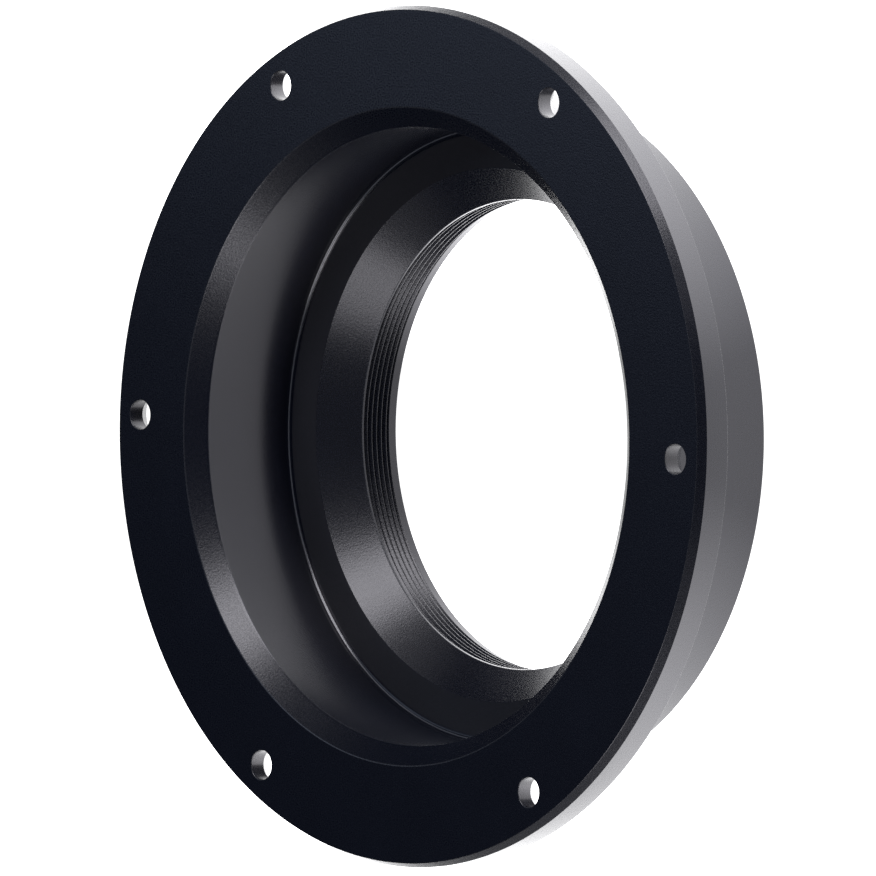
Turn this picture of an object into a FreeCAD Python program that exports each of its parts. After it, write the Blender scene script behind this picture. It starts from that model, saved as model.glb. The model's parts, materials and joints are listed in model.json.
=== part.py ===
import FreeCAD, Part
import math
import os

# Lens mount: one turned ring with a screw flange, a deep recess and a threaded nose.
# Millimetres. Z is the optical axis. The flange's mating face lies at z = 0 and looks up,
# and the body and the nose reach down from it.

# Thread in the nose, which takes the lens
thread_diameter = 56.0
thread_pitch = 0.75
thread_height_share = 1.0825  # basic metric profile: full thread height on the diameter, in pitches
pilot_depth = 1.1  # plain bore at the nose's end, as wide as the thread, that leads the lens in

# Stop lip between the throat and the thread
lip_reach = 0.2  # how far it stands in from the bore
lip_thickness = 0.27

# Radial steps, from the thread out to the rim
throat_width = 3.1  # from the thread out to the mouth of the conical throat
floor_width = 4.8  # flat floor of the recess
body_wall = 4.3
flange_reach = 9.8  # flange beyond the body
nose_wall = 4.0  # nose metal outside the thread

# Depths below the mating face
flange_thickness = 4.5
recess_depth = 14.6
floor_thickness = 5.3
nose_length = 4.6
throat_angle = 46.7  # slope of the conical throat, from the floor down

# Bevelled mouth of the recess
mouth_bevel_width = 2.3
mouth_bevel_depth = 1.85

# Edges
rim_chamfer_width = 0.5
rim_chamfer_depth = 1.1
rim_back_chamfer = 0.15
body_end_chamfer = 0.5
nose_end_chamfer = 0.5
recess_corner_radius = 0.3
throat_edge_radius = 0.3  # where the throat runs into the lip

# Screw holes through the flange, countersunk from its back for flat heads
screw_count = 6
screw_edge_distance = 4.1  # hole centre to the rim
screw_hole_diameter = 3.5
screw_land = 1.95  # straight wall of a hole, from the mating face to its countersink
countersink_angle = 80.0  # between opposite sides of the cone
cutter_overrun = 1.0  # how far a cutter passes the face that it opens

# Radii and heights that follow from them
thread_radius = thread_diameter / 2
bore_radius = thread_radius - thread_height_share * thread_pitch / 2
lip_radius = bore_radius - lip_reach
throat_radius = thread_radius + throat_width
recess_radius = throat_radius + floor_width
mouth_radius = recess_radius + mouth_bevel_width
body_radius = recess_radius + body_wall
flange_radius = body_radius + flange_reach
nose_radius = thread_radius + nose_wall

flange_back = -flange_thickness
recess_floor = -recess_depth
body_end = recess_floor - floor_thickness
nose_end = body_end - nose_length
throat_end = recess_floor - (throat_radius - lip_radius) * math.tan(math.radians(throat_angle))
lip_end = throat_end - lip_thickness
bore_end = nose_end + pilot_depth


def rounded_corner(before, corner, after, rounding):
    """Start, middle and end of the arc that rounds a corner between two straight runs."""
    back = (before - corner).normalize()
    ahead = (after - corner).normalize()
    half_angle = back.getAngle(ahead) / 2
    setback = rounding / math.tan(half_angle)
    inward = (back + ahead).normalize()
    middle = corner + inward * (rounding / math.sin(half_angle) - rounding)
    return corner + back * setback, middle, corner + ahead * setback


def section_outline(corners):
    """Closed wire in the XZ plane through (radius, height, rounding) corners."""
    places = [FreeCAD.Vector(radius, 0, height) for radius, height, rounding in corners]
    edges = []
    bends = []
    for index, corner in enumerate(places):
        after = places[(index + 1) % len(places)]
        bends.append(rounded_corner(places[index - 1], corner, after, corners[index][2]))
    for index, (start, middle, end) in enumerate(bends):
        edges.append(Part.makeLine(bends[index - 1][2], start))
        if corners[index][2] > 0:
            edges.append(Part.Arc(start, middle, end).toShape())
    return Part.Wire(edges)


def turned_body():
    """The whole section, turned about the optical axis."""
    sharp = 0.0
    corners = [
        (mouth_radius, 0.0, sharp),
        (flange_radius - rim_chamfer_width, 0.0, sharp),
        (flange_radius, -rim_chamfer_depth, sharp),
        (flange_radius, flange_back + rim_back_chamfer, sharp),
        (flange_radius - rim_back_chamfer, flange_back, sharp),
        (body_radius, flange_back, sharp),
        (body_radius, body_end + body_end_chamfer, sharp),
        (body_radius - body_end_chamfer, body_end, sharp),
        (nose_radius, body_end, sharp),
        (nose_radius, nose_end + nose_end_chamfer, sharp),
        (nose_radius - nose_end_chamfer, nose_end, sharp),
        (thread_radius, nose_end, sharp),
        (thread_radius, bore_end, sharp),
        (bore_radius, bore_end, sharp),
        (bore_radius, lip_end, sharp),
        (lip_radius, lip_end, sharp),
        (lip_radius, throat_end, throat_edge_radius),
        (throat_radius, recess_floor, sharp),
        (recess_radius, recess_floor, recess_corner_radius),
        (recess_radius, -mouth_bevel_depth, sharp),
    ]
    section = Part.Face(section_outline(corners))
    return section.revolve(FreeCAD.Vector(0, 0, 0), FreeCAD.Vector(0, 0, 1), 360)


def screw_cutter(angle):
    """One through hole and its countersink, open to the back of the flange."""
    circle_radius = flange_radius - screw_edge_distance
    foot = FreeCAD.Vector(
        circle_radius * math.cos(angle), circle_radius * math.sin(angle), flange_back - cutter_overrun
    )
    up = FreeCAD.Vector(0, 0, 1)
    hole_radius = screw_hole_diameter / 2
    hole = Part.makeCylinder(hole_radius, flange_thickness + 2 * cutter_overrun, foot, up)
    cone_height = flange_thickness - screw_land + cutter_overrun
    cone_radius = hole_radius + cone_height * math.tan(math.radians(countersink_angle / 2))
    countersink = Part.makeCone(cone_radius, hole_radius, cone_height, foot, up)
    return hole.fuse(countersink)


mount_body = turned_body()
for index in range(screw_count):
    mount_body = mount_body.cut(screw_cutter(2 * math.pi * index / screw_count))

os.makedirs("parts", exist_ok=True)
mount_body.exportStep("parts/mount_body.step")
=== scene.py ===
import json
import math

import bmesh
import bpy
from mathutils import Matrix, Vector


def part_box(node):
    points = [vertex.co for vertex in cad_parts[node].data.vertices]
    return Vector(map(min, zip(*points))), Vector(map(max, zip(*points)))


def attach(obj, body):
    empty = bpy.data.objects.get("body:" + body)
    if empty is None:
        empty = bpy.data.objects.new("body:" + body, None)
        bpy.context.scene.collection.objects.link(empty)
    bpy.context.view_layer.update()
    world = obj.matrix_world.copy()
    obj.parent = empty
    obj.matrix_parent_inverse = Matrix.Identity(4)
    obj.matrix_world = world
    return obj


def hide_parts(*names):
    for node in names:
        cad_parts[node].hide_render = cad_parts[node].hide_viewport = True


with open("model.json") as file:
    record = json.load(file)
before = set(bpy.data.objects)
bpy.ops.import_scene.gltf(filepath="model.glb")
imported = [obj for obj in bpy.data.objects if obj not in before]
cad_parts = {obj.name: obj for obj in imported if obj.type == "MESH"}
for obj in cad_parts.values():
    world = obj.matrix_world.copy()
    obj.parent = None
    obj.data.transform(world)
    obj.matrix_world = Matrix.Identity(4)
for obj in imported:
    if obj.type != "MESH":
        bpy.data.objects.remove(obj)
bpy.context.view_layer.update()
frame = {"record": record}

# Lens mount: one turned ring of black anodised aluminium, lying on its nose.
# Its section is drawn in millimetres, as radius and height, and turned about the optical axis.
# Heights are below the mating face of the flange, which lies at zero and looks up.
MM = 0.001

# Sizes that the frame gives
low_corner, high_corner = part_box("mount_body")
mounts = {mount["name"]: mount["dims"] for mount in frame["record"]["mounts"]}
flange_radius = high_corner.x / MM
nose_end = low_corner.z / MM
bore_radius = mounts["lens_thread"]["r_mm"]
screw_count = mounts["flange_screws"]["count"]
screw_circle_radius = mounts["flange_screws"]["pcd_mm"] / 2
screw_hole_radius = mounts["flange_screws"]["hole_r_mm"]

# Radii, from the stop lip out to the flange
lip_reach = 0.2  # how far the stop lip above the thread stands in from the bore
lip_radius = bore_radius - lip_reach
thread_radius = 28.0  # also of the plain pilot bore below the thread and of the groove above it
throat_radius = 31.1
nose_radius = 32.0
recess_radius = 35.9
mouth_radius = 38.2
body_radius = 40.2

# Heights
flange_back = -4.5
recess_floor = -14.6
body_end = -19.9
throat_angle = math.radians(46.7)
throat_end = recess_floor - (throat_radius - lip_radius) * math.tan(throat_angle)
lip_thickness = 0.27
lip_end = throat_end - lip_thickness
pilot_depth = 1.1
thread_bottom = nose_end + pilot_depth
groove_width = 0.3  # where the thread runs out below the lip
thread_top = lip_end - groove_width

# Bevels and countersinks
mouth_bevel_depth = 1.85
rim_chamfer_width = 0.5
rim_chamfer_depth = 1.1
rim_back_chamfer = 0.15
body_end_chamfer = 0.5
nose_end_chamfer = 0.5
screw_land = 1.95  # straight wall of a screw hole, from the mating face to its countersink
countersink_angle = math.radians(80.0)
countersink_depth = -flange_back - screw_land
countersink_radius = screw_hole_radius + countersink_depth * math.tan(countersink_angle / 2)

# Roundings that the cutter and the finishing leave on edges and in corners
fine_edge = 0.03
broken_edge = 0.08
soft_edge = 0.15
mouth_edge = 0.3
inner_corner = 0.12
recess_corner = 0.5
throat_edge = 0.3

# Thread: right-handed, with narrow crests
thread_pitch = 0.75
crest_offset = 0.476  # height of a crest at the first screw hole, in pitches
crest_half_share = 0.06  # half the crest flat, in pitches
flank_share = 0.40  # one flank's length along the axis, in pitches
rows_per_pitch = 16
slope_steps = 50  # parts of a pitch and of a turn over which its slope is taken

# Fineness of the mesh
ring_segments = 288
hole_segments = 48
arc_step = math.radians(15)
weld_distance = 0.0002 * MM

# Finish of the metal; colours are linear, and patterns are counted per millimetre
dark_black = (0.0018, 0.0025, 0.0062, 1)
light_black = (0.0034, 0.0045, 0.0098, 1)
# Lighter along the rounded edges: partly wear, partly a painted highlight on the edges, broken up by noise
wear_and_highlight_black = (0.040, 0.042, 0.050, 1)  # along edges
# Painted highlight: a lighter line in the middle of the recess corner
corner_highlight_grey = (0.052, 0.056, 0.070, 1)  # line in the middle of the recess corner
least_wear_and_highlight = 0.2
most_wear_and_highlight = 0.7
grain_scale = 4.5
grain_detail = 2.0
ring_scale = 3.0
ring_detail = 3.0
cloud_scale = 0.12
cloud_detail = 3.0
relief_depth = 0.012
rings_in_relief = 0.15
smoothest = 0.20  # roughness where the grain is finest
roughest = 0.34
floor_roughening = 0.29  # the recess floor is cut more coarsely than the rest
wall_smoothing = -0.05  # the recess wall is cut more finely
corner_smoothing = -0.08  # the corner between them is burnished by the nose of the cutter
corner_relief = 0.2  # share of the relief that is left there
finish_blend = 0.1  # length over which one finish runs into the next
# Widths of the painted highlight line in the middle of the recess corner
highlight_line_core = 0.07
highlight_line_end = 0.15
coating_index = 1.6  # refractive index of the anodised layer
reflection_tint = (0.95, 0.93, 1.0, 1)

# View, as measured on the circles in the photograph
image_size = 876
focal_length_px = 19515.4
sensor_width = 36.0
view_distance = 2262.7
view_tilt = math.radians(47.356)  # between the line of sight and the optical axis
view_turn = math.radians(3.914)  # round the optical axis, from the first screw hole
view_roll = math.radians(-1.005)
view_offset_right = 3.99
view_offset_up = -0.16

# Light table under the mount: its glow, and where that changes across the view and towards the camera
middle_glow = 1.32
side_glow = 4.8
side_glow_start = 12.0
side_glow_end = 62.0
weaker_side = 0.9  # share of the glow on the side of the smaller softbox
weaker_side_reach = 40.0
bore_middle_glow = -0.5  # added inside the bore, whose middle is dimmer
bore_side_glow = 4.5
bore_glow_start = 8.0
bore_glow_end = 24.0
bore_fade_start = 32.0  # from the middle of the mating face
bore_fade_end = 40.2
bore_stronger_side = 1.7  # share of the added glow on the side of the tall softbox
bore_stronger_reach = 16.0
far_glow = 0.98  # share of the glow behind the optical axis
near_glow = 1.1  # share of it on the camera's side
near_reach = 60.0
table_middle_across = 5.0
table_side_start = 64.0
table_side_end = 86.0
table_middle_towards = -20.0
table_front_start = 95.0
table_front_end = 130.0
outside_glow = 0.02  # share of it beyond the table's ends
table_grey = (0.4, 0.4, 0.4, 1)
table_roughness = 0.7
floor_half_width = 3000.0
floor_gap = 0.01  # below the nose

# Studio round the table
white = (1, 1, 1, 1)
studio_tint = (0.75, 0.92, 1.2, 1)
studio_strength = 0.016
card_tint = (0.82, 0.97, 1.2)
power_per_radiance = 4.0  # of a flat lamp, for its area
near_clip = 100.0
far_clip = 20000.0


def rounded_profile(start, corners, end):
    """Points of an open section line with rounded corners: place, outward normal, edge share.

    A corner is (radius, height, rounding). The start and the end only give the directions in
    which the line comes and goes. The metal lies to the right of the line.
    """
    places = [Vector(start)] + [Vector(corner[:2]) for corner in corners] + [Vector(end)]
    points = []
    for before, corner, after, (_, _, rounding) in zip(places, places[1:], places[2:], corners):
        coming = (corner - before).normalized()
        going = (after - corner).normalized()
        turn = math.atan2(coming.x * going.y - coming.y * going.x, coming.dot(going))
        to_centre = math.copysign(rounding, turn)
        arc_start = corner - coming * rounding * math.tan(abs(turn) / 2)
        normal = Vector((-coming.y, coming.x))
        centre = arc_start + normal * to_centre
        steps = math.ceil(abs(turn) / arc_step)
        for step in range(steps + 1):
            turned = Matrix.Rotation(turn * step / steps, 2) @ normal
            edge = math.sin(math.pi * step / steps) if turn < 0 else 0.0
            points.append((centre - turned * to_centre, turned, edge))
    return points


class Shell:
    """The growing surface of the mount, with each vertex's normal and its share of an edge."""

    def __init__(self):
        self.bm = bmesh.new()
        self.normals = self.bm.verts.layers.float_vector.new("facing")
        self.edges = self.bm.verts.layers.float.new("edge")

    def vertex(self, place, normal, edge):
        vertex = self.bm.verts.new(place * MM)
        vertex[self.normals] = normal
        vertex[self.edges] = edge
        return vertex

    def skin(self, rows):
        """Quads between neighbouring rows of vertices."""
        for row, next_row in zip(rows, rows[1:]):
            for here in range(len(row) - 1):
                corners = (row[here], next_row[here], next_row[here + 1], row[here + 1])
                self.bm.faces.new(corners)

    def turn(self, profile, axis, segments):
        """A section line turned about an upright axis."""
        rows = []
        for place, normal, edge in profile:
            row = []
            for index in range(segments):
                angle = 2 * math.pi * index / segments
                outward = Vector((math.cos(angle), math.sin(angle), 0))
                point = axis + outward * place.x + Vector((0, 0, place.y))
                row.append(self.vertex(point, outward * normal.x + Vector((0, 0, normal.y)), edge))
            rows.append(row + row[:1])
        self.skin(rows)

    def weld(self):
        bmesh.ops.remove_doubles(self.bm, verts=self.bm.verts, dist=weld_distance)

    def fill(self, height):
        """A flat face between the open edges that lie at one height."""
        level = height * MM
        rim = [
            edge
            for edge in self.bm.edges
            if edge.is_boundary and all(abs(v.co.z - level) < weld_distance for v in edge.verts)
        ]
        bmesh.ops.triangle_fill(self.bm, edges=rim, use_beauty=True)

    def finish(self, name):
        """The closed surface as a named object with its own normals."""
        bmesh.ops.recalc_face_normals(self.bm, faces=self.bm.faces)
        for face in self.bm.faces:
            face.smooth = True
        mesh = bpy.data.meshes.new(name)
        self.bm.to_mesh(mesh)
        self.bm.free()
        facing = mesh.attributes["facing"]
        mesh.normals_split_custom_set_from_vertices([item.vector for item in facing.data])
        mesh.attributes.remove(facing)
        piece = bpy.data.objects.new(name, mesh)
        bpy.context.scene.collection.objects.link(piece)
        return piece


def thread_surface_radius(height, angle):
    """Radius of the bore's wall: the thread, with the groove above it and the pilot bore below."""
    phase = (height / thread_pitch - angle / (2 * math.pi) - crest_offset) % 1.0
    from_crest = min(phase, 1.0 - phase)
    cut = min(max((from_crest - crest_half_share) / flank_share, 0.0), 1.0)
    thread = bore_radius + (thread_radius - bore_radius) * cut
    beyond = min(max(thread_top - height, 0), max(height - thread_bottom, 0))
    return max(thread, thread_radius - beyond)


def thread_point(height, angle):
    """Place and outward normal of a point on the bore's wall."""
    small_height = thread_pitch / slope_steps
    small_angle = 2 * math.pi / slope_steps
    radius = thread_surface_radius(height, angle)
    rise = thread_surface_radius(height + small_height, angle)
    rise -= thread_surface_radius(height - small_height, angle)
    sweep = thread_surface_radius(height, angle + small_angle)
    sweep -= thread_surface_radius(height, angle - small_angle)
    outward = Vector((math.cos(angle), math.sin(angle), 0))
    along = Vector((-math.sin(angle), math.cos(angle), 0))
    normal = along * (sweep / (2 * small_angle) / radius) - outward
    normal += Vector((0, 0, rise / (2 * small_height)))
    return outward * radius + Vector((0, 0, height)), normal.normalized()


def cut_thread(shell, bottom, top):
    """The threaded wall: rows that climb with the thread, held between two level circles."""
    first_row = math.floor((bottom / thread_pitch - 1 - crest_offset) * rows_per_pitch)
    last_row = math.ceil((top / thread_pitch - crest_offset) * rows_per_pitch)
    rows = []
    for number in range(first_row, last_row + 1):
        row = []
        for index in range(ring_segments + 1):
            angle = 2 * math.pi * index / ring_segments
            climb = thread_pitch * (number / rows_per_pitch + crest_offset + index / ring_segments)
            height = min(max(climb, bottom), top)
            place, normal = thread_point(height, angle)
            row.append(shell.vertex(place, normal, 0.0))
        rows.append(row)
    shell.skin(rows)


def build_mount():
    """The whole mount as one closed surface."""
    shell = Shell()
    axis = Vector((0, 0, 0))
    rim = rounded_profile(
        (mouth_radius, 0),
        [
            (flange_radius - rim_chamfer_width, 0, broken_edge),
            (flange_radius, -rim_chamfer_depth, broken_edge),
            (flange_radius, flange_back + rim_back_chamfer, broken_edge),
            (flange_radius - rim_back_chamfer, flange_back, fine_edge),
        ],
        (body_radius, flange_back),
    )
    outside = rounded_profile(
        (flange_radius, flange_back),
        [
            (body_radius, flange_back, inner_corner),
            (body_radius, body_end + body_end_chamfer, broken_edge),
            (body_radius - body_end_chamfer, body_end, broken_edge),
            (nose_radius, body_end, inner_corner),
            (nose_radius, nose_end + nose_end_chamfer, broken_edge),
            (nose_radius - nose_end_chamfer, nose_end, broken_edge),
            (thread_radius, nose_end, broken_edge),
        ],
        (thread_radius, thread_bottom),
    )
    inside = rounded_profile(
        (thread_radius, thread_top),
        [
            (thread_radius, lip_end, fine_edge),
            (lip_radius, lip_end, fine_edge),
            (lip_radius, throat_end, throat_edge),
            (throat_radius, recess_floor, fine_edge),
            (recess_radius, recess_floor, recess_corner),
            (recess_radius, -mouth_bevel_depth, soft_edge),
            (mouth_radius, 0, mouth_edge),
        ],
        (flange_radius, 0),
    )
    screw_hole = rounded_profile(
        (screw_circle_radius, flange_back),
        [
            (countersink_radius, flange_back, fine_edge),
            (screw_hole_radius, -screw_land, broken_edge),
            (screw_hole_radius, 0, broken_edge),
        ],
        (screw_circle_radius, 0),
    )
    for profile in (rim, outside, inside):
        shell.turn(profile, axis, ring_segments)
    for index in range(screw_count):
        angle = 2 * math.pi * index / screw_count
        hole_axis = Vector((math.cos(angle), math.sin(angle), 0)) * screw_circle_radius
        shell.turn(screw_hole, hole_axis, hole_segments)
    cut_thread(shell, outside[-1][0].y, inside[0][0].y)
    shell.weld()
    shell.fill(0)
    shell.fill(flange_back)
    return shell.finish("mount_body_turned")


class Nodes:
    """A material's node tree, with short ways to add nodes and link them."""

    mix_inputs = (0, 6, 7)  # share and two colours, among the mixing node's sockets for other data
    mix_output = 2

    def __init__(self, name):
        self.material = bpy.data.materials.new(name)
        self.material.use_nodes = True
        self.tree = self.material.node_tree
        self.shader = self.tree.nodes["Principled BSDF"]

    def add(self, kind, inputs, **settings):
        """A node with its settings and inputs; an input is a value or another node's output."""
        node = self.tree.nodes.new(kind)
        for name, value in settings.items():
            setattr(node, name, value)
        for name, value in inputs.items():
            self.set(node.inputs[name], value)
        return node

    def set(self, socket, value):
        if isinstance(value, bpy.types.NodeSocket):
            self.tree.links.new(value, socket)
        else:
            socket.default_value = value

    def shade(self, name, value):
        """Set or link one of the shader's own inputs."""
        self.set(self.shader.inputs[name], value)

    def place(self):
        """The place of a point in the object, in millimetres."""
        coordinates = self.add("ShaderNodeTexCoord", {}).outputs["Object"]
        return self.vector("SCALE", {0: coordinates, "Scale": 1 / MM}, "Vector")

    def vector(self, operation, inputs, output):
        return self.add("ShaderNodeVectorMath", inputs, operation=operation).outputs[output]

    def math(self, operation, *values):
        node = self.add("ShaderNodeMath", dict(enumerate(values)), operation=operation)
        return node.outputs["Value"]

    def chain(self, operation, values):
        """One value worked out from several, from left to right."""
        result = values[0]
        for value in values[1:]:
            result = self.math(operation, result, value)
        return result

    def total(self, *values):
        return self.chain("ADD", values)

    def product(self, *values):
        return self.chain("MULTIPLY", values)

    def distance(self, value, other):
        return self.math("ABSOLUTE", self.math("SUBTRACT", value, other))

    def noise(self, scale, detail, **inputs):
        settings = {"noise_dimensions": "1D" if "W" in inputs else "3D"}
        values = {"Scale": scale, "Detail": detail, **inputs}
        return self.add("ShaderNodeTexNoise", values, **settings).outputs["Fac"]

    def spread(self, value, low, high, start=0.0, end=1.0):
        """The value's stretch from start to end, mapped to low and high."""
        values = {"Value": value, "From Min": start, "From Max": end, "To Min": low, "To Max": high}
        return self.add("ShaderNodeMapRange", values).outputs["Result"]

    def mix(self, share, first, second):
        inputs = dict(zip(self.mix_inputs, (share, first, second)))
        return self.add("ShaderNodeMix", inputs, data_type="RGBA").outputs[self.mix_output]


def recess_zones(nodes, radius, height):
    """A point's share in the recess floor, its wall, the corner between them and the painted highlight line
    in that corner.
    """
    off_floor = nodes.distance(height, recess_floor)
    off_wall = nodes.distance(radius, recess_radius)
    half_blend = finish_blend / 2
    corner_start = recess_radius - recess_corner
    floor = nodes.product(
        nodes.spread(off_floor, 1.0, 0.0, finish_blend, 3 * finish_blend),
        nodes.spread(radius, 0.0, 1.0, throat_radius, throat_radius + finish_blend),
        nodes.spread(radius, 1.0, 0.0, corner_start - 2 * finish_blend, corner_start),
    )
    wall = nodes.product(
        nodes.spread(off_wall, 1.0, 0.0, half_blend, 5 * half_blend),
        nodes.spread(height, 0.0, 1.0, recess_floor, recess_floor + recess_corner),
    )
    corner = nodes.product(
        nodes.spread(off_floor, 1.0, 0.0, recess_corner - finish_blend, recess_corner + finish_blend),
        nodes.spread(radius, 0.0, 1.0, corner_start - half_blend, corner_start + half_blend),
    )
    # The painted highlight line runs along the middle of the corner's rounding
    off_line = nodes.distance(off_floor, off_wall)
    line = nodes.product(corner, nodes.spread(off_line, 1.0, 0.0, highlight_line_core, highlight_line_end))
    return floor, wall, corner, line


def black_anodised():
    """Satin black anodised aluminium: fine grain, faint turning rings, and edges a little lighter, partly
    as wear and partly as a painted highlight.
    """
    nodes = Nodes("black_anodised")
    place = nodes.place()
    flat = nodes.vector("MULTIPLY", {0: place, 1: (1, 1, 0)}, "Vector")
    radius = nodes.vector("LENGTH", {0: flat}, "Value")
    height = nodes.add("ShaderNodeSeparateXYZ", {"Vector": place}).outputs["Z"]
    edge = nodes.add("ShaderNodeAttribute", {}, attribute_name="edge").outputs["Fac"]
    rings = nodes.noise(ring_scale, ring_detail, W=nodes.total(radius, height))
    grain = nodes.noise(grain_scale, grain_detail, Vector=place)
    clouds = nodes.noise(cloud_scale, cloud_detail, Vector=place)
    floor, wall, corner, line = recess_zones(nodes, radius, height)

    colour = nodes.mix(clouds, dark_black, light_black)
    # Painted highlight along the rounded edges, together with wear: lighter colour where the edge share is
    # high, broken up by the clouds
    wear_and_highlight = nodes.product(edge, nodes.spread(clouds, least_wear_and_highlight, most_wear_and_highlight))
    colour = nodes.mix(wear_and_highlight, colour, wear_and_highlight_black)
    # Painted highlight: a lighter line in the middle of the recess corner
    nodes.shade("Base Color", nodes.mix(line, colour, corner_highlight_grey))

    roughness = nodes.total(
        nodes.spread(grain, smoothest, roughest),
        nodes.product(floor, floor_roughening),
        nodes.product(wall, wall_smoothing),
        nodes.product(corner, corner_smoothing),
    )
    nodes.shade("Roughness", roughness)

    relief = nodes.total(grain, nodes.product(rings, rings_in_relief))
    strength = nodes.spread(corner, 1.0, corner_relief)
    bump_inputs = {"Height": relief, "Strength": strength, "Distance": relief_depth * MM}
    nodes.shade("Normal", nodes.add("ShaderNodeBump", bump_inputs).outputs["Normal"])
    nodes.shade("IOR", coating_index)
    nodes.shade("Specular Tint", reflection_tint)
    return nodes.material


def floor_surface():
    """Pale matt light table, plain white to look at, that lights the mount most on both sides."""
    nodes = Nodes("light_table")
    place = nodes.place()
    across_view = (-math.sin(view_turn), math.cos(view_turn), 0)
    towards_camera = (math.cos(view_turn), math.sin(view_turn), 0)
    across = nodes.vector("DOT_PRODUCT", {0: place, 1: across_view}, "Value")
    towards = nodes.vector("DOT_PRODUCT", {0: place, 1: towards_camera}, "Value")
    from_face = nodes.vector("LENGTH", {0: place}, "Value")
    aside = nodes.distance(across, 0.0)
    beside = nodes.product(
        nodes.spread(aside, middle_glow, side_glow, side_glow_start, side_glow_end),
        nodes.spread(across, weaker_side, 1.0, -weaker_side_reach, weaker_side_reach),
    )
    in_bore = nodes.product(
        nodes.spread(aside, bore_middle_glow, bore_side_glow, bore_glow_start, bore_glow_end),
        nodes.spread(from_face, 1.0, 0.0, bore_fade_start, bore_fade_end),
        nodes.spread(across, 1.0, bore_stronger_side, 0.0, bore_stronger_reach),
    )
    off_middle = nodes.distance(across, table_middle_across)
    ahead = nodes.distance(towards, table_middle_towards)
    glow = nodes.product(
        nodes.total(beside, in_bore),
        nodes.spread(off_middle, 1.0, outside_glow, table_side_start, table_side_end),
        nodes.spread(ahead, 1.0, outside_glow, table_front_start, table_front_end),
        nodes.spread(towards, far_glow, near_glow, 0.0, near_reach),
    )
    looked_at = nodes.add("ShaderNodeLightPath", {}).outputs["Is Camera Ray"]
    nodes.shade("Base Color", table_grey)
    nodes.shade("Roughness", table_roughness)
    nodes.shade("Emission Color", white)
    nodes.shade("Emission Strength", nodes.math("MAXIMUM", glow, looked_at))
    return nodes.material


def add_floor():
    """A wide plain floor that the nose stands on."""
    level = low_corner.z - floor_gap * MM
    reach = floor_half_width * MM
    signs = ((-1, -1), (1, -1), (1, 1), (-1, 1))
    mesh = bpy.data.meshes.new("floor")
    mesh.from_pydata([(x * reach, y * reach, level) for x, y in signs], [], [(0, 1, 2, 3)])
    mesh.materials.append(floor_surface())
    floor = bpy.data.objects.new("floor", mesh)
    bpy.context.scene.collection.objects.link(floor)


def add_softbox(name, centre, width, height, radiance, lean=0, colour=(1, 1, 1)):
    """An upright lamp that faces the optical axis; its centre is towards the camera, across and up."""
    lamp = bpy.data.lights.new(name, "AREA")
    lamp.shape = "RECTANGLE"
    lamp.size = width * MM
    lamp.size_y = height * MM
    lamp.energy = power_per_radiance * radiance * lamp.size * lamp.size_y
    lamp.color = colour
    towards, across, up = centre
    quarter_turn = math.radians(90)
    turn = Matrix.Rotation(view_turn + math.atan2(across, towards), 4, "Z")
    place = Matrix.Translation(Vector((math.hypot(towards, across), 0, up)) * MM)
    upright = Matrix.Rotation(quarter_turn, 4, "Y") @ Matrix.Rotation(quarter_turn, 4, "Z")
    box = bpy.data.objects.new(name, lamp)
    box.matrix_world = turn @ place @ upright @ Matrix.Rotation(math.radians(lean), 4, "Z")
    box.visible_camera = False
    bpy.context.scene.collection.objects.link(box)


def add_light():
    """A tall softbox on one side of the mount, a smaller one on the other, and dimmer cards round them."""
    add_softbox("tall_softbox", centre=(105, 300, 255), width=180, height=560, radiance=4.5, lean=-10)
    add_softbox("small_softbox", centre=(120, -300, 150), width=200, height=225, radiance=2.6, lean=8)
    add_softbox("upper_card", centre=(75, -300, 345), width=200, height=160, radiance=0.35, lean=8)
    add_softbox("overhead_softbox", centre=(-40, -230, 380), width=170, height=200, radiance=4.6)
    add_softbox("other_overhead_softbox", centre=(-8, 230, 390), width=132, height=220, radiance=2.0)
    add_softbox("wide_card", centre=(150, 420, 150), width=900, height=280, radiance=0.27)
    add_softbox("other_wide_card", centre=(150, -420, 150), width=900, height=280, radiance=0.2)
    add_softbox("front_card", centre=(360, 0, 340), width=680, height=190, radiance=0.085)
    add_softbox("dim_card", centre=(-300, 200, 480), width=340, height=360, radiance=0.56, colour=card_tint)


def add_studio():
    """Dim bluish surroundings that are white to look at."""
    world = bpy.data.worlds.new("studio")
    world.use_nodes = True
    tree = world.node_tree
    dim = tree.nodes["Background"]
    dim.inputs["Color"].default_value = studio_tint
    dim.inputs["Strength"].default_value = studio_strength
    plain = tree.nodes.new("ShaderNodeBackground")
    plain.inputs["Color"].default_value = white
    path = tree.nodes.new("ShaderNodeLightPath")
    choice = tree.nodes.new("ShaderNodeMixShader")
    tree.links.new(path.outputs["Is Camera Ray"], choice.inputs["Fac"])
    tree.links.new(dim.outputs["Background"], choice.inputs[1])
    tree.links.new(plain.outputs["Background"], choice.inputs[2])
    tree.links.new(choice.outputs["Shader"], tree.nodes["World Output"].inputs["Surface"])
    bpy.context.scene.world = world
    bpy.context.scene.view_settings.view_transform = "Standard"


def add_camera():
    """Camera at the photograph's viewing angle, which has the mount's up side on its left."""
    camera_data = bpy.data.cameras.new("camera")
    camera_data.sensor_width = sensor_width
    camera_data.lens = focal_length_px / image_size * sensor_width
    camera_data.clip_start = near_clip * MM
    camera_data.clip_end = far_clip * MM
    camera = bpy.data.objects.new("camera", camera_data)
    turn = Matrix.Rotation(view_turn, 4, "Z")
    tilt = Matrix.Rotation(view_tilt, 4, "Y")
    roll = Matrix.Rotation(view_roll, 4, "Z")
    offset = Vector((view_offset_right, view_offset_up, view_distance)) * MM
    camera.matrix_world = turn @ tilt @ roll @ Matrix.Translation(offset)
    bpy.context.scene.collection.objects.link(camera)
    bpy.context.scene.camera = camera


mount = build_mount()
mount.data.materials.append(black_anodised())
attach(mount, "root")
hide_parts("mount_body")
add_floor()
add_light()
add_studio()
add_camera()
